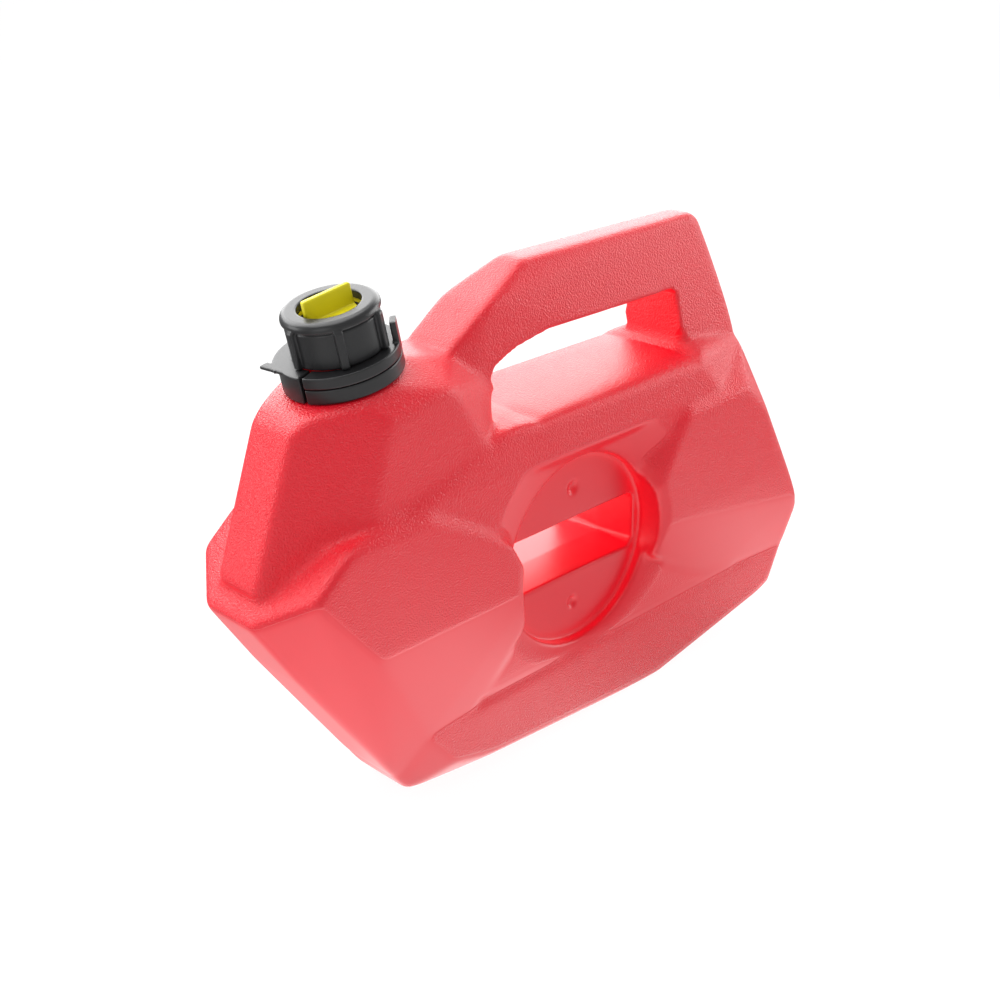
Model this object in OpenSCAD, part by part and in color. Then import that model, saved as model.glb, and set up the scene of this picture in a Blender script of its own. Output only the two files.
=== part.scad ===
// Flat five litre fuel can, moulded in one piece, with a lock recess in its middle,
// a neck with a latched collar, a screw nut, a winged stopper and a spout stored inside.
// +X runs to the end away from the neck, +Z is up, and the can stands on z = 0.

/* [Tank] */
// Overall length of the tank
tank_length = 444; // [400:1:480]
// Overall thickness of the tank across its bulges
tank_thickness = 98; // [92:1:108]
// Height of the tank to the top of the handle
tank_height = 294; // [280:1:310]
// Wall of the tank
tank_wall = 4; // [3:0.5:5]

/* [Lock recess] */
// Radius of the round recess on each side
recess_r = 60; // [56:0.5:62]
// Plastic left between the two recess floors
web_thickness = 56; // [50:1:60]
// Width of the rounded outer edge of the recess
recess_flare = 7; // [4:0.5:8]
// Length of the slot through the recess
slot_length = 110; // [100:1:112]
// Height of the slot through the recess
slot_height = 36.8; // [30:0.4:40]
// Corner radius of the slot
slot_corner_r = 6; // [3:0.5:8]
// Radius of each centring dimple in the recess floor
dimple_r = 4; // [3:0.25:5]
// Depth of each centring dimple
dimple_depth = 1.6; // [0.8:0.2:2.4]
// Distance of each dimple from the lock centre
dimple_offset = 38; // [34:1:44]

/* [Neck] */
// Lean of the neck towards the front end, in degrees
neck_tilt = 11.5; // [9:0.5:13]
// Outer radius of the neck under its thread
neck_r = 21.6; // [20.8:0.1:22]
// Bore radius of the neck
neck_bore_r = 17; // [16:0.1:18]
// Height of the neck rim above the collar foot
neck_height = 27; // [26:0.1:28]
// Radius of the step that carries the collar
neck_step_r = 28; // [26.5:0.5:30]
// Width of the small lug under the collar's seam
lug_width = 5; // [4:0.5:7]

/* [Collar and latch] */
// Outer radius of the lock collar and the latch ring
collar_r = 31.4; // [31:0.1:33]
// Height of the lock collar
collar_height = 8; // [7:0.25:9]
// Height of the latch ring
latch_height = 6.2; // [5:0.1:7]
// Gap between the lock collar and the latch ring
ring_gap = 0.4; // [0.3:0.1:0.6]
// Width of the seam in the lock collar
seam_gap = 1.7; // [1.2:0.1:2.4]
// Travel of the latch ring
latch_travel = 2; // [1.5:0.1:2.2]
// Thickness of the press tab
tab_thickness = 2; // [1.6:0.1:3]
// Length of the press tab
tab_length = 22.5; // [18:0.5:25]
// Width of the press tab
tab_width = 5.4; // [4:0.2:7]
// Height of the latch post above the latch ring
post_height = 21; // [18:0.5:23]

/* [Nut and stopper] */
// Outer radius of the nut
nut_r = 26; // [25.6:0.1:26.4]
// Wall of the nut
nut_wall = 3; // [2.6:0.1:3.2]
// Height of the nut
nut_height = 25.2; // [24.5:0.1:26]
// Thickness of the top of the nut
nut_top = 3; // [2.4:0.1:3.4]
// Bevel round the top of the nut
nut_edge = 2; // [1:0.5:2.5]
// Radius of the hole in the top of the nut
nut_hole_r = 16.8; // [16:0.1:18]
// Number of grip ribs round the nut
rib_count = 6; // [4:1:8]
// Width of a grip rib
rib_width = 4.2; // [3:0.2:5]
// How far a grip rib stands out
rib_reach = 1.5; // [1:0.1:1.8]
// Room left round the neck for its thread
thread_depth = 1; // [0.6:0.1:1.1]
// Length of the wing on the stopper
wing_length = 28.5; // [26:0.5:31]
// Thickness of the wing
wing_thickness = 3.2; // [2.4:0.1:4]
// Height of the wing above the nut
wing_height = 6.5; // [5:0.5:9]
// Depth of the stopper's face under the top of the nut
stopper_recess = 3; // [1:0.2:3.2]

/* [Spout] */
// Outer radius of the spout tube
spout_r = 13; // [12:0.1:13.6]
// Wall of the spout tube
spout_wall = 1.8; // [1.4:0.1:2.2]
// Length of the spout below its flange
spout_length = 120; // [100:1:125]

/* [Hidden] */
fine = 96;
cut_over = 20;
rib_angle = 58;
seam_angle = 200;
block_angle = 158;
post_angle = 318;
ear_angle = 155;
wing_angle = -7;
wing_shift = -0.5;
post_width = 6;
post_depth = 3;
post_clear = 0.4;
hook_height = 3;
ear_height = 12;
ear_width = 10;
ear_depth = 1.8;
lug_depth = 3;
running_gap = 0.3;

// Points of each block: length share from the middle, thickness share, height share
tower_shares = [
    [-0.412, 0.153, 0.811], [-0.480, 0.153, 0.542],
    [-0.320, 0.418, 0.820], [-0.360, 0.418, 0.585],
    [-0.225, 0.418, 0.842], [-0.173, 0.418, 0.738],
    [-0.180, 0.184, 0.874], [-0.115, 0.204, 0.803],
    [-0.155, 0.418, 0.602]
];
rail_shares = [
    [-0.311, 0.418, 0.653], [-0.135, 0.418, 0.724],
    [0.234, 0.418, 0.728], [0.275, 0.418, 0.653],
    [0.369, 0.255, 0.718], [-0.290, 0.459, 0.635],
    [0.284, 0.459, 0.635], [-0.223, 0.347, 0.602],
    [0.261, 0.347, 0.602], [0.375, 0.255, 0.622]
];
left_shares = [
    [-0.500, 0.204, 0.505], [-0.453, 0.500, 0.560],
    [-0.403, 0.500, 0.622], [-0.324, 0.418, 0.652],
    [-0.257, 0.418, 0.650], [-0.282, 0.500, 0.622],
    [-0.140, 0.500, 0.500], [-0.137, 0.500, 0.398],
    [-0.367, 0.500, 0.398], [-0.297, 0.378, 0.167],
    [-0.180, 0.378, 0.167], [-0.117, 0.439, 0.293],
    [-0.295, 0.133, 0.003], [-0.232, 0.378, 0.058],
    [-0.423, 0.347, 0.590], [-0.273, 0.133, 0]
];
right_shares = [
    [0.216, 0.418, 0.652], [0.275, 0.418, 0.653],
    [0.198, 0.500, 0.622], [0.333, 0.500, 0.629],
    [0.149, 0.500, 0.503], [0.164, 0.500, 0.398],
    [0.419, 0.500, 0.398], [0.149, 0.449, 0.316],
    [0.270, 0.388, 0.207], [0.318, 0.378, 0.184],
    [0.459, 0.378, 0.173], [0.369, 0.255, 0.718],
    [0.351, 0.449, 0.622], [0.381, 0.500, 0.558],
    [0.477, 0.480, 0.306], [0.489, 0.449, 0.269],
    [0.500, 0.204, 0.303], [0.488, 0.204, 0.240]
];
lower_shares = [
    [-0.297, 0.378, 0.184], [0.459, 0.378, 0.184],
    [-0.232, 0.378, 0.058], [-0.151, 0.378, 0.041],
    [0.182, 0.378, 0.003], [0.277, 0.378, 0.034],
    [0.419, 0.378, 0.071], [0.450, 0.378, 0.088],
    [0.473, 0.378, 0.167], [-0.273, 0.133, 0],
    [0.171, 0.306, 0], [0.488, 0.204, 0.240],
    [0.480, 0.378, 0.200]
];
bar_shares = [
    [-0.180, 0.184, 0.866], [-0.117, 0.194, 0.932],
    [-0.088, 0.143, 0.952], [-0.036, 0.102, 1],
    [0.300, 0.102, 1], [0.313, 0.102, 0.986],
    [0.322, 0.102, 0.952], [0.286, 0.102, 0.905],
    [0.245, 0.102, 0.830], [-0.108, 0.204, 0.827],
    [-0.158, 0.245, 0.782]
];
leg_shares = [
    [0.286, 0.102, 0.905], [0.322, 0.102, 0.952],
    [0.358, 0.133, 0.827], [0.369, 0.255, 0.718],
    [0.234, 0.418, 0.724], [0.257, 0.204, 0.755],
    [0.275, 0.418, 0.653], [0.375, 0.255, 0.622],
    [0.238, 0.102, 0.864], [0.234, 0.306, 0.690]
];
core_shares = [
    [-0.340, 0.640], [-0.380, 0.400], [-0.260, 0.180],
    [0.430, 0.180], [0.460, 0.400], [0.330, 0.640]
];
// Outline of the hand hole: length share and height share
hand_shares = [
    [-0.131, 0.724], [-0.124, 0.762], [-0.115, 0.803],
    [-0.104, 0.831], [-0.080, 0.848], [-0.014, 0.864],
    [0.229, 0.862], [0.243, 0.850], [0.259, 0.755],
    [0.255, 0.738], [0.234, 0.728], [-0.110, 0.720]
];
// Slabs of the hollow: half thickness share, then length share and height share
hollow_shares = [
    [0.245, [
        [-0.473, 0.514], [-0.410, 0.575], [-0.374, 0.609], [-0.365, 0.793],
        [-0.324, 0.806], [-0.230, 0.827], [-0.176, 0.738], [-0.153, 0.711],
        [0.234, 0.711], [0.351, 0.690], [0.473, 0.316], [0.482, 0.276],
        [0.462, 0.160], [0.439, 0.105], [0.273, 0.048], [0.149, 0.017],
        [-0.144, 0.024], [-0.255, 0.058]
    ]],
    [0.337, [
        [-0.423, 0.548], [-0.387, 0.602], [-0.302, 0.622], [-0.297, 0.636],
        [-0.212, 0.711], [0.234, 0.711], [0.266, 0.643], [0.336, 0.609],
        [0.365, 0.548], [0.401, 0.398], [0.455, 0.323], [0.471, 0.269],
        [0.459, 0.173], [0.437, 0.105], [0.266, 0.051], [0.149, 0.024],
        [-0.144, 0.058], [-0.218, 0.075], [-0.279, 0.173], [-0.349, 0.398]
    ]],
    [0.449, [
        [-0.414, 0.541], [-0.383, 0.602], [-0.291, 0.602], [-0.158, 0.490],
        [-0.153, 0.412], [-0.358, 0.412]
    ]],
    [0.449, [
        [0.207, 0.602], [0.324, 0.609], [0.369, 0.534], [0.401, 0.412],
        [0.180, 0.412], [0.167, 0.500]
    ]],
    [0.367, [
        [-0.309, 0.622], [-0.309, 0.799], [-0.230, 0.820], [-0.185, 0.752],
        [-0.167, 0.704], [-0.167, 0.622]
    ]],
    [0.112, [
        [-0.455, 0.551], [-0.401, 0.782], [-0.358, 0.796], [-0.358, 0.568]
    ]]
];
core_half_share = 0.353;
// Lock centre and collar foot: length share and height share
lock_share = [0.0135, 0.398];
neck_share = [-0.3056, 0.8714];

web_half = web_thickness / 2;
tank_half = tank_thickness / 2;
step_depth = 22;
ring_foot = collar_height + ring_gap;
ring_top = ring_foot + latch_height;
nut_foot = ring_top + running_gap;
nut_roof = nut_foot + nut_height;
gasket_height = 1.5;
flange_height = 2.4;
spout_foot = neck_height + gasket_height;
disc_foot = spout_foot + flange_height + gasket_height;
disc_roof = nut_roof - nut_top - running_gap;
nut_bore_r = nut_r - nut_wall;
disc_r = nut_bore_r - 1.4;
skirt_height = nut_height - nut_top - nut_edge;
hub_r = nut_hole_r - running_gap;
seam_turn = seam_gap / collar_r * 180 / PI;
hook_r = nut_r + rib_reach + post_clear;
hub_roof = nut_roof - stopper_recess;
ring_bore_r = neck_r + thread_depth + running_gap;

// One block of the tank: the points on both sides, wrapped tightly
module block(shares) {
    side = [for (p = shares) [p[0] * tank_length, p[1] * tank_thickness, p[2] * tank_height]];
    far = [for (p = side) [p[0], -p[1], p[2]]];
    count = 2 * len(shares);
    hull() polyhedron(concat(side, far), [[for (i = [0 : count - 1]) i]]);
}

// A slab across the thickness, from an outline of length and height shares
module slab(shares, half) {
    rotate([90, 0, 0])
        linear_extrude(2 * half, center = true)
            polygon([for (p = shares) [p[0] * tank_length, p[1] * tank_height]]);
}

module rounded_slot(length, height, r) {
    square([length - 2 * r, height], center = true);
    square([length, height - 2 * r], center = true);
    for (x = [-1, 1], y = [-1, 1])
        translate([x * (length / 2 - r), y * (height / 2 - r)])
            circle(r, $fn = fine);
}

module at_lock() {
    translate([lock_share[0] * tank_length, 0, lock_share[1] * tank_height]) rotate([90, 0, 0]) children();
}

module at_neck() {
    translate([neck_share[0] * tank_length, 0, neck_share[1] * tank_height]) rotate([0, -neck_tilt, 0]) children();
}

module recess_cut() {
    for (side = [0, 1])
        mirror([0, 0, side]) {
            translate([0, 0, web_half])
                cylinder(r = recess_r, h = tank_half, $fn = fine);
            translate([0, 0, tank_half - recess_flare])
                cylinder(r1 = recess_r, r2 = recess_r + recess_flare,
                    h = recess_flare, $fn = fine);
            translate([0, 0, tank_half])
                cylinder(r = recess_r + recess_flare, h = recess_flare, $fn = fine);
            for (y = [-1, 1])
                translate([0, y * dimple_offset, web_half - dimple_depth])
                    cylinder(r = dimple_r, h = 2 * dimple_depth, $fn = fine);
        }
}

module tank_hollow() {
    difference() {
        union()
            for (part = hollow_shares)
                slab(part[1], part[0] * tank_thickness);
        at_lock()
            linear_extrude(tank_thickness, center = true)
                rounded_slot(slot_length + 2 * tank_wall, slot_height + 2 * tank_wall,
                    slot_corner_r + tank_wall);
        at_lock()
            difference() {
                cylinder(r = recess_r + tank_wall, h = tank_thickness, center = true, $fn = fine);
                cylinder(r = recess_r + 2 * tank_wall, h = web_thickness - 2 * tank_wall,
                    center = true, $fn = fine);
            }
    }
}

module tank_shell() {
    color("crimson")
        difference() {
            union() {
                block(tower_shares);
                block(rail_shares);
                block(left_shares);
                block(right_shares);
                block(lower_shares);
                block(bar_shares);
                block(leg_shares);
                slab(core_shares, core_half_share * tank_thickness);
                at_neck() {
                    translate([0, 0, -step_depth])
                        cylinder(r = neck_step_r, h = step_depth, $fn = fine);
                    translate([0, 0, -step_depth])
                        cylinder(r = neck_r, h = step_depth + neck_height, $fn = fine);
                    rotate([0, 0, seam_angle])
                        translate([neck_r, -lug_width / 2, -lug_depth])
                            cube([collar_r - neck_r - lug_depth / 2, lug_width, lug_depth]);
                }
            }
            slab(hand_shares, tank_thickness);
            at_lock() recess_cut();
            at_lock()
                linear_extrude(2 * tank_thickness, center = true)
                    rounded_slot(slot_length, slot_height, slot_corner_r);
            at_neck()
                translate([0, 0, -2 * step_depth])
                    cylinder(r = neck_bore_r, h = 2 * step_depth + neck_height + cut_over,
                        $fn = fine);
            tank_hollow();
        }
}

module ring(outer, inner, height) {
    difference() {
        cylinder(r = outer, h = height, $fn = fine);
        translate([0, 0, -height])
            cylinder(r = inner, h = 3 * height, $fn = fine);
    }
}

module neck_gasket() {
    color("dimgray")
        at_neck()
            translate([0, 0, neck_height])
                ring(neck_r, neck_bore_r, gasket_height);
}

module spout() {
    color("gold")
        at_neck()
            difference() {
                union() {
                    translate([0, 0, spout_foot])
                        cylinder(r = neck_r, h = flange_height, $fn = fine);
                    translate([0, 0, spout_foot - spout_length])
                        cylinder(r = spout_r, h = spout_length, $fn = fine);
                }
                translate([0, 0, spout_foot - 2 * spout_length])
                    cylinder(r = spout_r - spout_wall, h = 3 * spout_length, $fn = fine);
            }
}

module lock_collar() {
    color([0.08, 0.08, 0.09])
        at_neck()
            difference() {
                ring(collar_r, neck_r + running_gap, collar_height);
                wedge(block_angle - seam_turn, seam_angle + seam_turn / 2);
            }
}

// A wedge between two angles, taller and wider than the rings that it cuts
module wedge(from, to) {
    reach = 2 * collar_r;
    middle = (from + to) / 2;
    linear_extrude(4 * ring_top, center = true)
        polygon([
            [0, 0], [reach * cos(from), reach * sin(from)],
            [reach * cos(middle), reach * sin(middle)], [reach * cos(to), reach * sin(to)]
        ]);
}

module latch_strap() {
    difference() {
        translate([0, 0, ring_foot])
            cylinder(r = collar_r, h = latch_height, $fn = fine);
        latch_bore();
        wedge(seam_angle - seam_turn / 2, seam_angle + seam_turn / 2);
    }
}

module latch_block() {
    difference() {
        intersection() {
            cylinder(r = collar_r, h = ring_foot + latch_height / 2, $fn = fine);
            wedge(block_angle, seam_angle - seam_turn / 2);
        }
        latch_bore();
    }
}

module latch_post() {
    height = latch_height + post_height;
    rotate([0, 0, post_angle]) {
        translate([collar_r - post_depth, -post_width / 2, ring_foot])
            cube([post_depth, post_width, height]);
        translate([hook_r, -post_width / 2, ring_foot + height - hook_height])
            cube([collar_r - hook_r, post_width, hook_height]);
    }
}

module latch_ear() {
    rotate([0, 0, ear_angle])
        translate([collar_r - ear_depth, -ear_width / 2, ring_foot])
            cube([ear_depth, ear_width, latch_height + ear_height]);
}

module press_tab() {
    translate([-collar_r - tab_width / 2, 0, ring_top - tab_thickness])
        cube([tab_width, tab_length, tab_thickness]);
}

module latch_ring() {
    color([0.07, 0.07, 0.08])
        at_neck() {
            latch_strap();
            latch_block();
            latch_post();
            latch_ear();
            press_tab();
        }
}

// The latch ring's bore, long enough for the ring's travel
module latch_bore() {
    for (x = [0, -latch_travel])
        translate([x, 0, -ring_top])
            cylinder(r = ring_bore_r, h = 3 * ring_top, $fn = fine);
    translate([-latch_travel, -ring_bore_r, -ring_top])
        cube([latch_travel, 2 * ring_bore_r, 3 * ring_top]);
}

module stopper_gasket() {
    color("dimgray")
        at_neck()
            translate([0, 0, spout_foot + flange_height])
                ring(neck_r, neck_bore_r, gasket_height);
}

module stopper() {
    color("gold")
        at_neck() {
            translate([0, 0, disc_foot])
                cylinder(r = disc_r, h = disc_roof - disc_foot, $fn = fine);
            translate([0, 0, disc_foot])
                cylinder(r = hub_r, h = hub_roof - disc_foot, $fn = fine);
            rotate([0, 0, wing_angle])
                translate([wing_shift - wing_length / 2, -wing_thickness / 2, disc_foot])
                    cube([wing_length, wing_thickness, nut_roof + wing_height - disc_foot]);
        }
}

module nut_skirt() {
    linear_extrude(skirt_height)
        difference() {
            union() {
                circle(nut_r, $fn = fine);
                for (i = [0 : rib_count - 1])
                    rotate(rib_angle + i * 360 / rib_count)
                        translate([nut_bore_r + nut_wall / 2, -rib_width / 2])
                            square([nut_wall / 2 + rib_reach, rib_width]);
            }
            circle(nut_bore_r, $fn = fine);
        }
}

module nut_crown() {
    height = nut_height - skirt_height;
    rotate_extrude($fn = fine)
        polygon([
            [nut_bore_r, 0], [nut_r, 0], [nut_r, height - nut_edge],
            [nut_r - nut_edge, height], [nut_hole_r, height],
            [nut_hole_r, height - nut_top], [nut_bore_r, height - nut_top]
        ]);
}

module screw_nut() {
    color([0.06, 0.06, 0.07])
        at_neck()
            translate([0, 0, nut_foot]) {
                nut_skirt();
                translate([0, 0, skirt_height])
                    nut_crown();
            }
}

tank_shell();
neck_gasket();
spout();
lock_collar();
latch_ring();
stopper_gasket();
stopper();
screw_nut();
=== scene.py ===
import math

import bmesh
import bpy
import numpy as np
from mathutils import Matrix, Vector


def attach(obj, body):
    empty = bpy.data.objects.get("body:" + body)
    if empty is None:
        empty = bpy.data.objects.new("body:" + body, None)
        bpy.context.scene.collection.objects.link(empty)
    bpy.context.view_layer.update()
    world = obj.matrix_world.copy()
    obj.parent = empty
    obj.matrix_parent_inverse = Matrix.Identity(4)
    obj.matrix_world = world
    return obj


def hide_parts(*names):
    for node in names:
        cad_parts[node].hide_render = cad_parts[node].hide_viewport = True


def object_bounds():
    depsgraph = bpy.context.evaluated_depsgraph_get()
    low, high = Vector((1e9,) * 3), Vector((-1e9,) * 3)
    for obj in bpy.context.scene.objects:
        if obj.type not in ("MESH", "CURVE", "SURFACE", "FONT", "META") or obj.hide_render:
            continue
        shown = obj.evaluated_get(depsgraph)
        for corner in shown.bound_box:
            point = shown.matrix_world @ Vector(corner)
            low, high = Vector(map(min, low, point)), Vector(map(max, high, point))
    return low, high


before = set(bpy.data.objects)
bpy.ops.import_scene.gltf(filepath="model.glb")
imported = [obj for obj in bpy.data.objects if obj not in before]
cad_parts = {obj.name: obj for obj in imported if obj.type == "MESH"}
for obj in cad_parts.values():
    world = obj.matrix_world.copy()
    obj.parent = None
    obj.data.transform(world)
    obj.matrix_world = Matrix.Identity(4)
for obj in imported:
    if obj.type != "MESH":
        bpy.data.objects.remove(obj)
cad_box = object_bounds()

MM = 0.001
# The lock centre in the row frame, in millimetres: the tank's tables are measured from it
LOCK = (6.0, 0.0, 117.0)

# Corner points of the tank's blocks: x, half width and z, in millimetres from the lock centre
TOWER = [
    (-191.3, 16.5, 123), (-222, 16, 42), (-147, 41, 124), (-166, 41, 57), (-106, 41, 131),
    (-83, 41, 100), (-86, 18, 140), (-57, 20, 119), (-75, 41, 60), (-183, 17, 129.5),
    (-176, 22, 131.5), (-158, 33, 133), (-142, 30, 139), (-113, 14, 145),
]
RAIL = [
    (-144, 41, 75), (-66, 41, 96), (98, 41, 97), (116, 41, 75), (158, 25, 94), (-135, 45, 70),
    (120, 45, 70), (-105, 34, 60), (110, 34, 60), (160, 25, 66), (109, 20, 105), (139, 20, 101),
]
LEFT = [
    (-228, 20, 31.5), (-207, 49, 47.5), (-185, 49, 66), (-150, 41, 75), (-120, 41, 74),
    (-131, 49, 66), (-68, 49, 30), (-52, 49, 0), (-169, 49, 0), (-129, 37, -71), (-88, 37, -67),
    (-56, 43, -31), (-201, 21, -12), (-165.8, 22, -64.2), (-141.8, 22, -99.8), (-194, 34, 56.5),
]
RIGHT = [
    (90, 41, 75), (116, 41, 75), (82, 49, 66), (142, 49, 68), (60, 49, 31), (51, 35, 46),
    (52, 49, 0), (180, 49, 0), (58, 44, -24), (114, 38, -56), (135, 37, -63), (207, 37, -68),
    (158, 25, 94), (150, 44, 66), (163, 49, 47), (206, 47, -27), (211, 44, -38), (216, 20, -28),
    (213, 20, -48),
]
LOWER = [
    (-129, 37, -71), (198, 37, -67), (-107, 37, -98), (-73, 37, -107), (75, 37, -117),
    (117, 37, -109.5), (180, 37, -98.5), (194, 37, -94), (207, 37, -68), (-141.8, 22, -99.8),
    (-133, 22, -112), (-60, 20, -117), (70, 30, -117), (213, 20, -48),
]
BAR = [
    (-86, 18, 141), (-58, 19, 160), (-45, 14, 166), (-22, 10, 177), (127, 10, 177),
    (133, 10, 173), (137, 10, 163), (121, 10, 149), (-54, 20, 126), (-76, 24, 113),
    (109, 20, 105), (139, 20, 101), (153, 13, 126), (158, 25, 94), (112, 22, 92),
]
# Outlines in x and z: the middle of the tank round the lock, and the grip's opening
CORE = [(-110, -66), (-150, 1), (-157, 71), (130, 70), (150, 1), (150, -66)]
HAND = [
    (-38, 97.5), (-46, 101), (-53, 108), (-59, 120), (-56, 126), (-47, 130), (-38, 133),
    (-12, 137), (98, 136), (102, 133), (103, 105), (102, 101), (98, 97.5),
]

# The tank's grid: its cell, its lowest and highest corner, and the blur that rounds the edges
CELL = 1.25
TANK_LOW = (-232.0, 0.0, -121.0)
TANK_HIGH = (220.0, 53.0, 181.0)
SOFT = 2.5
# Faces smaller than this, in square millimetres, give no plane of a block
SLIVER = 0.5

# The middle of the tank falls away from the lock: half width at the recess's rim, and slope
DISH_HALF = 35.0
DISH_SLOPE = 0.33
DISH_LEAST = 33.0
DISH_MOST_ABOVE = 44.5
DISH_MOST_BELOW = 37.0
DISH_FOOT_SLOPE = 0.1
DISH_FOOT_Z = -67

# The lock recess in the web, with a mouth that flares out
WEB_HALF = 28.0
RECESS_R = 60.0
RECESS_SOFT = 2.5
FLARE = 7.0
FLARE_FROM = 44.0
FLARE_DEPTH = 5.0

# The slot through the web
SLOT_HALF_X = 55
SLOT_HALF_Z = 17.8
SLOT_RISE = 0.5
SLOT_DRAFT = 0.05
SLOT_CORNER_R = 6.0
SLOT_SOFT_LOW = 1.8
SLOT_SOFT_HIGH = 1.2

# The dimples over and under the slot: half width at the middle, radius and softness of two balls
DIMPLE_Z = 38.0
DIMPLE_BALLS = ((38.5, 11.2, 0.6), (31.0, 5.4, 0.8))

# The opening's sill is softer than the rest of its edge
HAND_SOFT = 1.5
SILL_SOFT = 8.0
SILL_TOP = 112
SILL_DEPTH = 10

# The neck: its foot in the row frame, its tilt and what stands on it
NECK = (-135.7, 256.2)
TILT = math.radians(11.5)
NECK_R = 21.6
NECK_TOP = 27.0
NECK_ROOT = -22
DECK_R = 28.0
FILLER_R = 17.0
FILLER_REACH = 100

# The lug under the rings' seam: the seam's angle, the lug's middle and its half sizes
SEAM = math.radians(193)
LUG_R = 25.5
LUG_DROP = 1.6
LUG_HALF_OUT = 4.4
LUG_HALF_SIDE = 2.5
LUG_HALF_UP = 1.4

# Room for the latch ring, which slides towards the grip
LATCH_TRAVEL = 2.0
ROOM_R = 31.9
ROOM_FOOT = 8.0
ROOM_INNER_R = 25.0

# The two rings round the neck, flattened a little on the side away from the grip
RING_R = 31.4
RING_BULGE = 0.94
COLLAR_TOP = 8.0
COLLAR_BORE_R = 21.9
STRAP_FOOT = 8.4
STRAP_TOP = 14.6
PLATE_FOOT = 12.6
BLOCK_TOP = 11.5
LOBE_R = 34.0
LATCH_BORE_R = 22.1
SEAM_FROM = 191.4
SEAM_TO = 194.6
TAB_LOW = (-33.9, 2.0, PLATE_FOOT)
TAB_HIGH = (-28.6, 24.4, STRAP_TOP)
TAB_SLANT = 0.084
PAWL_ANGLE = 317
PAWL_LOW = (28.0, -4.6, STRAP_FOOT)
PAWL_HIGH = (31.3, 4.6, 26.0)

# The nut: skirt, rounded crown, groove between them, ribs, hole and bore
NUT_FOOT = 14.9
NUT_TOP = 40.1
SKIRT_R = 24.8
SKIRT_TOP = 35.0
CROWN_R = 22.6
CROWN_ROUND = 3.4
CROWN_FROM = 36.4
CROWN_RISE = 3.7
GROOVE_Z = 34.6
GROOVE_HALF = 0.6
GROOVE_R = 24.0
RIBS = 6
RIB_FIRST = 58
RIB_HALF = 2.2
RIB_FROM = 20
RIB_REACH = 27.4
RIB_TOP = 37.4
RIB_SLOPE = 0.9
NUT_HOLE_R = 16.8
NUT_BORE_R = 23.0
NUT_BORE_TOP = 35.1

# The stopper: a shallow dish with a hub and a wing
STOPPER_FOOT = 32.4
DISC_R = 21.6
DISC_TOP = 34.8
DISC_FLOOR = 32.9
DISC_HOLLOW_R = 18.0
HUB_R = 14.0
HUB_TOP = 35.0
WING_ANGLE = -7
WING_SHIFT = 0.5
WING_HALF = 14.25
WING_THICK = 1.6
WING_TOP = 46.6
WING_CORNER_R = 1.0

# The cap pieces' grids
CAP_CELL = 0.4

# Slots of the CAD nodes
SLOTS = {
    "neck_gasket": "seal_rubber", "stopper_gasket": "seal_rubber", "spout": "yellow_plastic",
    "stopper": "yellow_plastic", "lock_collar": "black_plastic", "latch_ring": "black_plastic",
    "screw_nut": "black_plastic", "tank_shell": "red_plastic",
}
# Colour, roughness, grain scale and grain depth of the plain plastics
PLAIN = {
    "black_plastic": ((0.012, 0.012, 0.013), 0.32, 1500, 0.0001),
    "yellow_plastic": ((0.72, 0.63, 0.01), 0.4, 900, 0.0001),
    "seal_rubber": ((0.03, 0.03, 0.03), 0.7, 900, 0.0001),
}
# Name, place, target, size and watts of each lamp
LAMPS = [
    ("back_light", (1.3, 1.35, 0.95), (0, 0, 0.15), (2.6, 1.5), 50),
    ("top_light", (-0.2, 0.3, 1.6), (0, 0, 0.15), (1.6, 1.2), 20),
    ("left_light", (-1.5, 1.2, 0.45), (-0.1, 0, 0.15), (1.0, 0.9), 10),
    ("rear_light", (-0.45, 1.25, 1.2), (-0.1, 0, 0.2), (1.3, 0.9), 18),
    ("front_light", (-1.6, -0.7, 0.5), (-0.1, 0, 0.15), (0.9, 0.9), 3),
    ("right_light", (1.4, -0.5, 0.5), (0.1, 0, 0.12), (1.0, 0.8), 10),
]


def overlap(*fields):
    """What all the solids share."""
    total = fields[0]
    for field in fields[1:]:
        total = np.maximum(total, field)
    return total


def joined(*fields):
    """All the solids together."""
    total = fields[0]
    for field in fields[1:]:
        total = np.minimum(total, field)
    return total


def smooth_max(a, b, k):
    h = np.clip(0.5 + 0.5 * (a - b) / k, 0, 1)
    return b + (a - b) * h + k * h * (1 - h)


def rod(radius, along, r, low, high):
    """A round rod between two levels."""
    return overlap(radius - r, low - along, along - high)


def wedge(U, V, start, end):
    """Below zero between two angles in degrees, less than half a turn apart."""
    a, b = math.radians(start), math.radians(end)
    return overlap(U * math.sin(a) - V * math.cos(a), V * math.cos(b) - U * math.sin(b))


def box(A, B, C, low, high):
    """Below zero inside a box given by its lowest and highest corners."""
    sides = [np.maximum(lo - value, value - hi) for value, lo, hi in zip((A, B, C), low, high)]
    return overlap(*sides)


def turned(U, V, angle):
    """The radial and the sideways coordinate of a direction given in degrees."""
    a = math.radians(angle)
    return U * math.cos(a) + V * math.sin(a), V * math.cos(a) - U * math.sin(a)


def hull_planes(points):
    """The planes of the hull round the points and their mirror images: normals and distances."""
    bm = bmesh.new()
    for x, w, z in points:
        bm.verts.new((x, w, z))
        bm.verts.new((x, -w, z))
    bmesh.ops.convex_hull(bm, input=bm.verts)
    planes = set()
    for face in bm.faces:
        if face.calc_area() < SLIVER:
            continue
        n = face.normal
        d = n.dot(face.verts[0].co)
        planes.add((round(n.x, 4), round(n.y, 4), round(n.z, 4), round(d, 2)))
    bm.free()
    # only one side of the tank is worked out, so planes that face away from it never bind there
    return [p for p in planes if p[1] > -0.999]


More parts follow.
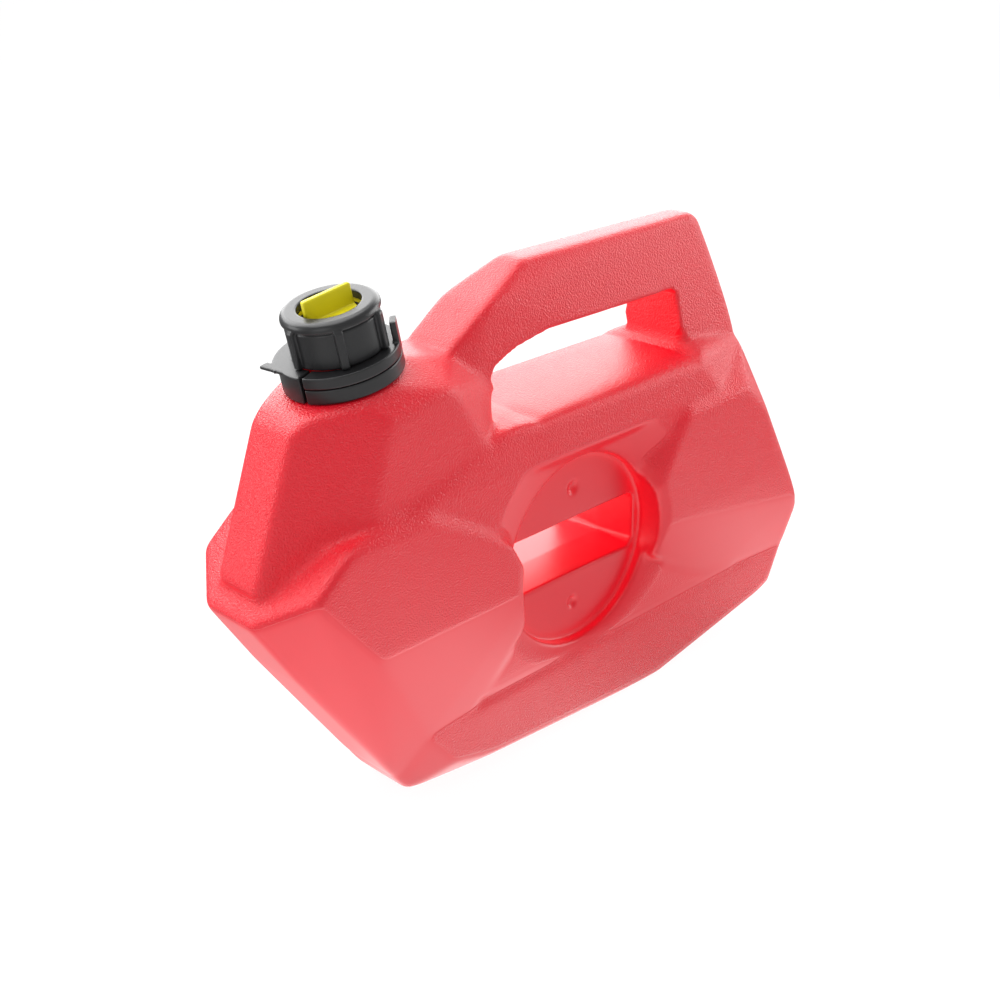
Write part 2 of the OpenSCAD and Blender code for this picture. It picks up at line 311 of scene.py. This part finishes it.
def blocks_field(X, W, Z):
    """The tank's blocks, taken plane by plane to save memory."""
    field = None
    for points in (TOWER, RAIL, LEFT, RIGHT, LOWER, BAR):
        block = None
        for nx, ny, nz, d in hull_planes(points):
            side = nx * X + ny * W + nz * Z - d
            block = side if block is None else np.maximum(block, side)
        field = block if field is None else np.minimum(field, block)
    return field


def polygon_field(X, Z, outline):
    """Signed distance to a closed outline, negative inside."""
    best = np.full(np.broadcast(X, Z).shape, 1e9, np.float32)
    inside = np.zeros(best.shape, bool)
    count = len(outline)
    for i in range(count):
        ax, az = outline[i]
        bx, bz = outline[(i + 1) % count]
        dx, dz = bx - ax, bz - az
        t = np.clip(((X - ax) * dx + (Z - az) * dz) / (dx * dx + dz * dz), 0, 1)
        dist = np.hypot(X - ax - t * dx, Z - az - t * dz)
        best = np.minimum(best, dist)
        crosses = (az > Z) != (bz > Z)
        at = ax + (Z - az) * dx / (dz if dz else 1e-9)
        inside ^= crosses & (X < at)
    return np.where(inside, -best, best)


def blurred(field, sigma):
    """A gaussian blur, which rounds the edges of the solid that the field describes."""
    reach = int(math.ceil(2.6 * sigma))
    taps = np.exp(-0.5 * (np.arange(-reach, reach + 1) / sigma) ** 2)
    taps /= taps.sum()
    for axis in range(3):
        pad = [(0, 0)] * 3
        pad[axis] = (reach, reach)
        wide = np.pad(field, pad, mode="edge")
        total = np.zeros_like(field)
        for i, weight in enumerate(taps):
            cut = [slice(None)] * 3
            cut[axis] = slice(i, i + field.shape[axis])
            total += np.float32(weight) * wide[tuple(cut)]
        field = total
    return field


def core_field(X, W, Z, rho):
    """The middle of the tank, which falls away from the lock recess."""
    dish = np.maximum(DISH_HALF + DISH_SLOPE * (rho - RECESS_R), DISH_LEAST)
    below = DISH_MOST_BELOW + DISH_FOOT_SLOPE * (Z - DISH_FOOT_Z)
    dish = np.minimum(dish, np.where(Z < 0, below, DISH_MOST_ABOVE))
    return np.maximum(polygon_field(X, Z, CORE), (W - dish) * 0.95)


def notch_field(X, W, Z):
    """What the slanted facet between tower and grip takes away."""
    facet = (26.0 - 0.5 * X - 0.285 * Z - W) / 1.153
    return overlap(facet, 96.0 - Z, X + 36, Z - 121 + 0.222 * (X + 61))


def recess_field(W, rho):
    """The round lock recess with its flared mouth."""
    rise = np.clip((W - FLARE_FROM) / FLARE_DEPTH, 0, 1)
    rim = RECESS_R + FLARE * (1 - np.sqrt(1 - rise ** 2))
    return smooth_max(rho - rim, WEB_HALF - W, RECESS_SOFT)


def slot_field(X, W, Z):
    """The slot, drafted a little and with round corners."""
    draft = np.maximum((WEB_HALF - W) * SLOT_DRAFT, 0)
    wide = np.abs(X)
    high = np.abs(Z - SLOT_RISE)
    corner_x = np.maximum(wide - (SLOT_HALF_X - SLOT_CORNER_R), 0)
    corner_z = np.maximum(high - (SLOT_HALF_Z - SLOT_CORNER_R), 0)
    corner = np.hypot(corner_x, corner_z) - SLOT_CORNER_R
    return overlap(wide - SLOT_HALF_X + draft, high - SLOT_HALF_Z + draft, corner)


def lug_field(across, W, along):
    """The lug that the rings' seam is keyed on."""
    seam_u, seam_v = math.cos(SEAM), abs(math.sin(SEAM))
    out = np.abs(across * seam_u + W * seam_v - LUG_R) - LUG_HALF_OUT
    side = np.abs(W * seam_u - across * seam_v) - LUG_HALF_SIDE
    return overlap(out, side, np.abs(along + LUG_DROP) - LUG_HALF_UP)


def tank_field(X, Y, Z):
    """Signed distance to the tank's skin, negative in the plastic, in lock millimetres."""
    W = np.abs(Y)
    rho = np.sqrt(X ** 2 + Z ** 2)
    neck_x, neck_z = NECK[0] - LOCK[0], NECK[1] - LOCK[2]
    along = (X - neck_x) * -math.sin(TILT) + (Z - neck_z) * math.cos(TILT)
    across = (X - neck_x) * math.cos(TILT) + (Z - neck_z) * math.sin(TILT)
    radius = np.sqrt(across ** 2 + W ** 2)

    field = joined(blocks_field(X, W, Z), core_field(X, W, Z, rho))
    field = np.maximum(field, -notch_field(X, W, Z))
    field = np.minimum(field, rod(radius, along, DECK_R, NECK_ROOT, 0))
    field = blurred(field.astype(np.float32), SOFT / CELL)

    soft = np.clip((SILL_TOP - Z) / SILL_DEPTH, 0, 1) * SILL_SOFT + HAND_SOFT
    field = smooth_max(field, -polygon_field(X, Z, HAND), soft)
    field = smooth_max(field, -recess_field(W, rho), RECESS_SOFT)
    soft = np.where(Z < 0, SLOT_SOFT_LOW, SLOT_SOFT_HIGH)
    field = smooth_max(field, -slot_field(X, W, Z), soft)
    for side in (-1, 1):
        reach = X ** 2 + (Z - side * DIMPLE_Z) ** 2
        for middle, r, soft in DIMPLE_BALLS:
            field = smooth_max(field, -(np.sqrt(reach + (W - middle) ** 2) - r), soft)

    field = np.minimum(field, lug_field(across, W, along))
    field = np.minimum(field, rod(radius, along, NECK_R, NECK_ROOT, NECK_TOP))
    pressed = np.hypot(np.maximum(across - LATCH_TRAVEL, 0), W)
    room = overlap(rod(pressed, along, ROOM_R, ROOM_FOOT, NECK_TOP), ROOM_INNER_R - radius)
    field = np.maximum(field, -room)
    return np.maximum(field, -rod(radius, along, FILLER_R, -FILLER_REACH, FILLER_REACH))


def nut_field(U, V, S):
    R = np.sqrt(U ** 2 + V ** 2)
    rise = np.clip((S - CROWN_FROM) / CROWN_RISE, 0, 1)
    crown = CROWN_R + CROWN_ROUND * np.sqrt(1 - rise ** 2)
    field = rod(R, S, np.where(S < SKIRT_TOP, SKIRT_R, crown), NUT_FOOT, NUT_TOP)
    groove = np.maximum(np.abs(S - GROOVE_Z) - GROOVE_HALF, GROOVE_R - R)
    field = np.maximum(field, -groove)
    for i in range(RIBS):
        out, side = turned(U, V, RIB_FIRST + 360 // RIBS * i)
        reach = RIB_REACH - np.clip(S - GROOVE_Z, 0, 3) * RIB_SLOPE
        rib = overlap(np.abs(side) - RIB_HALF, out - reach, RIB_FROM - out, S - RIB_TOP)
        field = np.minimum(field, np.maximum(rib, NUT_FOOT - S))
    field = np.maximum(field, NUT_HOLE_R - R)
    return np.maximum(field, -np.maximum(R - NUT_BORE_R, S - NUT_BORE_TOP))


def ring_radius(U, V):
    """The distance from the neck's middle, shortened on the side where the rings bulge."""
    return np.hypot(np.where(U < 0, RING_BULGE * U, U), V)


def collar_field(U, V, S):
    R = ring_radius(U, V)
    field = overlap(rod(R, S, RING_R, 0, COLLAR_TOP), COLLAR_BORE_R - R)
    return np.maximum(field, -wedge(U, V, 154.9, SEAM_TO))


def latch_field(U, V, S):
    R = ring_radius(U, V)
    strap = rod(R, S, RING_R, STRAP_FOOT, STRAP_TOP)
    block = overlap(rod(R, S, RING_R, 0, BLOCK_TOP), wedge(U, V, 158, 193))
    lobe = overlap(rod(R, S, LOBE_R, PLATE_FOOT, STRAP_TOP), wedge(U, V, 102, 160))
    slanted = U + TAB_SLANT * np.minimum(V - TAB_HIGH[1], 0)
    field = joined(strap, block, lobe, box(slanted, V, S, TAB_LOW, TAB_HIGH))
    # the bore is longer on the side that slides towards the neck
    bore = np.hypot(np.where(U < 0, np.minimum(U + LATCH_TRAVEL, 0), U), V)
    field = overlap(field, LATCH_BORE_R - bore, -wedge(U, V, SEAM_FROM, SEAM_TO))
    out, side = turned(U, V, PAWL_ANGLE)
    return np.minimum(field, box(out, side, S, PAWL_LOW, PAWL_HIGH))


def stopper_field(U, V, S):
    R = np.sqrt(U ** 2 + V ** 2)
    disc = rod(R, S, DISC_R, STOPPER_FOOT, DISC_TOP)
    disc = np.maximum(disc, -np.maximum(DISC_FLOOR - S, R - DISC_HOLLOW_R))
    hub = rod(R, S, HUB_R, STOPPER_FOOT, HUB_TOP)
    out, side = turned(U, V, WING_ANGLE)
    out = out + WING_SHIFT
    low = (-WING_HALF, -WING_THICK, STOPPER_FOOT)
    wing = box(out, side, S, low, (WING_HALF, WING_THICK, WING_TOP))
    past_end = np.maximum(np.abs(out) - (WING_HALF - WING_CORNER_R), 0)
    past_top = np.maximum(S - (WING_TOP - WING_CORNER_R), 0)
    corner = np.hypot(past_end, past_top) - WING_CORNER_R
    return joined(disc, hub, np.maximum(wing, corner))


# Skin, node, body, field, the grid's lowest and highest corner, blur and slot of each cap piece
CAP = [
    ("nut_skin", "screw_nut", "nut", nut_field,
     (-28.5, -28.5, 13.5), (28.5, 28.5, 41.5), 0.35, "black_plastic"),
    ("collar_skin", "lock_collar", "tank_body", collar_field,
     (-32.5, -32.5, -1.5), (32.5, 32.5, 9.5), 0.3, "black_plastic"),
    ("latch_skin", "latch_ring", "latch", latch_field,
     (-36, -35, -1.5), (35, 35.5, 27.5), 0.3, "black_plastic"),
    ("stopper_skin", "stopper", "stopper_body", stopper_field,
     (-23, -23, 31), (23, 23, 48), 0.35, "yellow_plastic"),
]


def surface(field, origin, cell):
    """Vertices and quads of the zero surface of a grid, one vertex in each cell that it crosses."""
    inside = field < 0
    shape = np.array(field.shape)
    mixed = np.zeros(shape - 1, bool)
    first = inside[:-1, :-1, :-1]
    offsets = [(i, j, k) for i in (0, 1) for j in (0, 1) for k in (0, 1)]
    for i, j, k in offsets:
        part = inside[i:shape[0] - 1 + i, j:shape[1] - 1 + j, k:shape[2] - 1 + k]
        mixed |= part != first
    cells = np.argwhere(mixed)
    number = np.full(mixed.shape, -1, np.int64)
    number[mixed] = np.arange(len(cells))
    corner = {o: field[cells[:, 0] + o[0], cells[:, 1] + o[1], cells[:, 2] + o[2]] for o in offsets}
    total = np.zeros((len(cells), 3))
    hits = np.zeros(len(cells))
    for a in offsets:
        for axis in range(3):
            if a[axis]:
                continue
            b = tuple(1 if n == axis else a[n] for n in range(3))
            fa, fb = corner[a], corner[b]
            cross = (fa < 0) != (fb < 0)
            t = np.where(cross, fa / np.where(cross, fa - fb, 1), 0)
            point = np.array(a, float)[None, :].repeat(len(cells), 0)
            point[:, axis] = t
            total += point * cross[:, None]
            hits += cross
    verts = (cells + total / hits[:, None]) * cell + origin
    quads = []
    for axis in range(3):
        u, v = [n for n in range(3) if n != axis]
        low = [slice(None)] * 3
        high = [slice(None)] * 3
        low[axis], high[axis] = slice(None, -1), slice(1, None)
        changed = inside[tuple(low)] != inside[tuple(high)]
        for n in (u, v):
            edge = [slice(None)] * 3
            edge[n] = slice(0, 1)
            changed[tuple(edge)] = False
            edge[n] = slice(-1, None)
            changed[tuple(edge)] = False
        at = np.argwhere(changed)
        ring = []
        for du, dv in ((1, 1), (0, 1), (0, 0), (1, 0)):
            c = at.copy()
            c[:, u] -= du
            c[:, v] -= dv
            ring.append(number[c[:, 0], c[:, 1], c[:, 2]])
        quad = np.stack(ring, 1)
        flip = inside[at[:, 0], at[:, 1], at[:, 2]]
        if axis == 1:
            flip = ~flip
        quad[~flip] = quad[~flip][:, ::-1]
        quads.append(quad)
    return verts, np.concatenate(quads)


def mesh_object(name, verts, faces, material):
    mesh = bpy.data.meshes.new(name)
    mesh.vertices.add(len(verts))
    mesh.vertices.foreach_set("co", np.asarray(verts, np.float32).ravel())
    mesh.loops.add(faces.size)
    mesh.loops.foreach_set("vertex_index", faces.ravel().astype(np.int32))
    mesh.polygons.add(len(faces))
    mesh.polygons.foreach_set("loop_start", np.arange(0, faces.size, 4, dtype=np.int32))
    mesh.update(calc_edges=True)
    mesh.polygons.foreach_set("use_smooth", np.ones(len(faces), bool))
    mesh.materials.append(material)
    obj = bpy.data.objects.new(name, mesh)
    bpy.context.scene.collection.objects.link(obj)
    return obj


def add_tank(material):
    """The tank's skin. The grid is as wide on either side, so that the tank is even."""
    low = np.array(TANK_LOW)
    count = np.ceil((np.array(TANK_HIGH) - low) / CELL).astype(int) + 1
    side = count[1]
    x = (low[0] + CELL * np.arange(count[0], dtype=np.float32))[:, None, None]
    y = (CELL * np.arange(-side + 1, side, dtype=np.float32))[None, :, None]
    z = (low[2] + CELL * np.arange(count[2], dtype=np.float32))[None, None, :]
    origin = np.array([low[0], -CELL * (side - 1), low[2]])
    verts, faces = surface(tank_field(x, y, z), origin, CELL)
    lowest, highest = np.array(cad_box)
    verts = np.clip((verts + np.array(LOCK)) * MM, lowest, highest)
    tank = mesh_object("tank_skin", verts, faces, material)
    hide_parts("tank_shell")
    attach(tank, "tank_body")


def add_cap_piece(name, node, body, field_of, low, high, soft, slot):
    """A piece of the cap, worked out in the neck's own frame and tilted with the neck."""
    axes = []
    for lo, hi in zip(low, high):
        steps = np.arange(int((hi - lo) / CAP_CELL) + 2, dtype=np.float32)
        axes.append(lo + CAP_CELL * steps)
    U, V, S = axes[0][:, None, None], axes[1][None, :, None], axes[2][None, None, :]
    field = blurred(field_of(U, V, S).astype(np.float32), soft / CAP_CELL)
    points, faces = surface(field, np.array(low), CAP_CELL)
    u, v, up = points.T
    row = np.stack([
        NECK[0] + u * math.cos(TILT) - up * math.sin(TILT), v,
        NECK[1] + u * math.sin(TILT) + up * math.cos(TILT),
    ], 1)
    piece = mesh_object(name, row * MM, faces, materials[slot])
    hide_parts(node)
    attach(piece, body)


def map_range(nodes, links, source, start, end, low=0.0, high=1.0, kind="LINEAR"):
    """A value carried from one range to another, and held at the ends."""
    step = nodes.new("ShaderNodeMapRange")
    step.interpolation_type = kind
    step.inputs["From Min"].default_value = start
    step.inputs["From Max"].default_value = end
    step.inputs["To Min"].default_value = low
    step.inputs["To Max"].default_value = high
    links.new(source, step.inputs["Value"])
    return step.outputs["Result"]


def vector_step(nodes, links, operation, source, second=(0, 0, 0)):
    """A vector operation whose second vector, where it has one, is fixed."""
    step = nodes.new("ShaderNodeVectorMath")
    step.operation = operation
    step.inputs[1].default_value = second
    links.new(source, step.inputs[0])
    return step


def times(nodes, links, a, b):
    product = nodes.new("ShaderNodeMath")
    product.operation = "MULTIPLY"
    links.new(a, product.inputs[0])
    if isinstance(b, float):
        product.inputs[1].default_value = b
    else:
        links.new(b, product.inputs[1])
    return product.outputs[0]


def mixed_by(nodes, links, amount, first, second):
    """The output of a mix of two shaders."""
    mix = nodes.new("ShaderNodeMixShader")
    links.new(amount, mix.inputs["Fac"])
    links.new(first, mix.inputs[1])
    links.new(second, mix.inputs[2])
    return mix.outputs[0]


def new_material(name, color, roughness):
    mat = bpy.data.materials.new(name)
    mat.use_nodes = True
    nodes = mat.node_tree.nodes
    shader = nodes["Principled BSDF"]
    shader.inputs["Base Color"].default_value = (*color, 1)
    shader.inputs["Roughness"].default_value = roughness
    return mat, nodes, mat.node_tree.links, shader


def add_bump(nodes, links, height, strength, depth, shader):
    bump = nodes.new("ShaderNodeBump")
    bump.inputs["Strength"].default_value = strength
    bump.inputs["Distance"].default_value = depth
    links.new(height, bump.inputs["Height"])
    links.new(bump.outputs["Normal"], shader.inputs["Normal"])


def red_plastic():
    """Red plastic, pebbled except on the faces that lean down and in the recess, with a painted red
    glow in its hollows.
    """
    mat, nodes, links, shader = new_material("red_plastic", (0.67, 0.005, 0.017), 0.35)
    shader.inputs["IOR"].default_value = 1.5
    place = nodes.new("ShaderNodeTexCoord")
    facing = nodes.new("ShaderNodeSeparateXYZ")
    links.new(place.outputs["Normal"], facing.inputs[0])
    upright = map_range(nodes, links, facing.outputs["Z"], -0.14, -0.06, kind="SMOOTHSTEP")
    lock = tuple(c * MM for c in LOCK)
    from_lock = vector_step(nodes, links, "SUBTRACT", place.outputs["Object"], lock)
    flat = vector_step(nodes, links, "MULTIPLY", from_lock.outputs[0], (1, 0, 1))
    reach = vector_step(nodes, links, "LENGTH", flat.outputs[0]).outputs["Value"]
    outside = map_range(nodes, links, reach, 0.062, 0.07, kind="SMOOTHSTEP")
    mask = times(nodes, links, upright, outside)
    grain = nodes.new("ShaderNodeTexNoise")
    grain.inputs["Scale"].default_value = 1000
    grain.inputs["Detail"].default_value = 1.5
    links.new(place.outputs["Object"], grain.inputs["Vector"])
    height = times(nodes, links, grain.outputs["Fac"], mask)
    add_bump(nodes, links, height, 0.6, 0.0011, shader)
    # painted glow: an emission that grows where ambient occlusion finds close surroundings makes
    # the hollows glow deep red, standing in for light soaking through the plastic
    open_sky = nodes.new("ShaderNodeAmbientOcclusion")
    open_sky.samples = 8
    open_sky.only_local = True
    open_sky.inputs["Distance"].default_value = 0.05
    glow = map_range(nodes, links, open_sky.outputs["AO"], 0.85, 0.25, high=0.6)
    links.new(glow, shader.inputs["Emission Strength"])
    shader.inputs["Emission Color"].default_value = (1, 0.003, 0.012, 1)
    return mat


def plain_plastic(name, color, roughness, grain_scale, grain_depth):
    mat, nodes, links, shader = new_material(name, color, roughness)
    place = nodes.new("ShaderNodeTexCoord")
    grain = nodes.new("ShaderNodeTexNoise")
    grain.inputs["Scale"].default_value = grain_scale
    links.new(place.outputs["Object"], grain.inputs["Vector"])
    add_bump(nodes, links, grain.outputs["Fac"], 0.2, grain_depth, shader)
    return mat


def add_camera():
    """The photo's camera, as solved from the tank's edges and the round recess."""
    data = bpy.data.cameras.new("photo_camera")
    data.sensor_width = 36
    data.lens = 53.47
    data.clip_start = 0.01
    cam = bpy.data.objects.new("photo_camera", data)
    bpy.context.scene.collection.objects.link(cam)
    right = Vector((0.71324, -0.7007, -0.01754))
    up = Vector((0.29823, 0.28072, 0.91228))
    back = Vector((-0.63431, -0.6559, 0.40919))
    turn = Matrix((right, up, back)).transposed().to_4x4()
    cam.matrix_world = Matrix.Translation((-0.5829, -0.5748, 0.508)) @ turn
    bpy.context.scene.camera = cam


def add_area(name, place, aim, size, power):
    data = bpy.data.lights.new(name, "AREA")
    data.shape = "RECTANGLE"
    data.size, data.size_y = size
    data.energy = power
    lamp = bpy.data.objects.new(name, data)
    lamp.location = place
    lamp.visible_camera = False
    lamp.rotation_euler = (Vector(aim) - Vector(place)).to_track_quat("-Z", "Y").to_euler()
    bpy.context.scene.collection.objects.link(lamp)


def add_world():
    """A dim white surround that the camera sees as plain white."""
    world = bpy.data.worlds.new("studio")
    world.use_nodes = True
    nodes, links = world.node_tree.nodes, world.node_tree.links
    dim = nodes["Background"]
    bright = nodes.new("ShaderNodeBackground")
    for background, strength in ((dim, 0.54), (bright, 1.0)):
        background.inputs["Color"].default_value = (1, 1, 1, 1)
        background.inputs["Strength"].default_value = strength
    seen = nodes.new("ShaderNodeLightPath").outputs["Is Camera Ray"]
    shown = mixed_by(nodes, links, seen, dim.outputs[0], bright.outputs[0])
    links.new(shown, nodes["World Output"].inputs["Surface"])
    bpy.context.scene.world = world


def add_floor():
    """A pale floor that the camera sees nearly white, and that carries a painted reflection: a glow
    that only glossy rays see.
    """
    mat, nodes, links, shader = new_material("floor", (0.9, 0.9, 0.9), 0.9)
    glow = nodes.new("ShaderNodeEmission")
    glow.inputs["Strength"].default_value = 1.06
    path = nodes.new("ShaderNodeLightPath")
    seen = times(nodes, links, path.outputs["Is Camera Ray"], 0.9)
    plain = mixed_by(nodes, links, seen, shader.outputs[0], glow.outputs[0])
    # painted reflection: a glow that only glossy rays see, strongest under the tank, with a dip in
    # front and less behind, paints light onto the tank's glossy faces
    place = nodes.new("ShaderNodeTexCoord").outputs["Object"]
    reach = vector_step(nodes, links, "LENGTH", place).outputs["Value"]
    fall = map_range(nodes, links, reach, 0.12, 0.45, 2.9, 0.75)
    dip_reach = vector_step(nodes, links, "DISTANCE", place, (0.12, -0.12, 0)).outputs["Value"]
    dip = map_range(nodes, links, dip_reach, 0.05, 0.14, low=0.35)
    split = nodes.new("ShaderNodeSeparateXYZ")
    links.new(place, split.inputs[0])
    behind = map_range(nodes, links, split.outputs["Y"], -0.03, 0.03, 1.0, 0.45)
    painted_sheen = nodes.new("ShaderNodeEmission")
    strength = times(nodes, links, times(nodes, links, fall, dip), behind)
    links.new(strength, painted_sheen.inputs["Strength"])
    glossy = path.outputs["Is Glossy Ray"]
    shown = mixed_by(nodes, links, glossy, plain, painted_sheen.outputs[0])
    links.new(shown, nodes["Material Output"].inputs["Surface"])
    size = 6
    mesh = bpy.data.meshes.new("floor")
    corners = [(-size, -size, 0), (size, -size, 0), (size, size, 0), (-size, size, 0)]
    mesh.from_pydata(corners, [], [(0, 1, 2, 3)])
    mesh.materials.append(mat)
    floor = bpy.data.objects.new("floor", mesh)
    bpy.context.scene.collection.objects.link(floor)


add_camera()
materials = {"red_plastic": red_plastic()}
for slot, look in PLAIN.items():
    materials[slot] = plain_plastic(slot, *look)
for node, slot in SLOTS.items():
    node_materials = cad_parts[node].data.materials
    node_materials.clear()
    node_materials.append(materials[slot])
add_tank(materials["red_plastic"])
for piece in CAP:
    add_cap_piece(*piece)
add_world()
add_floor()
for lamp in LAMPS:
    add_area(*lamp)

scene = bpy.context.scene
scene.view_settings.view_transform = "Standard"
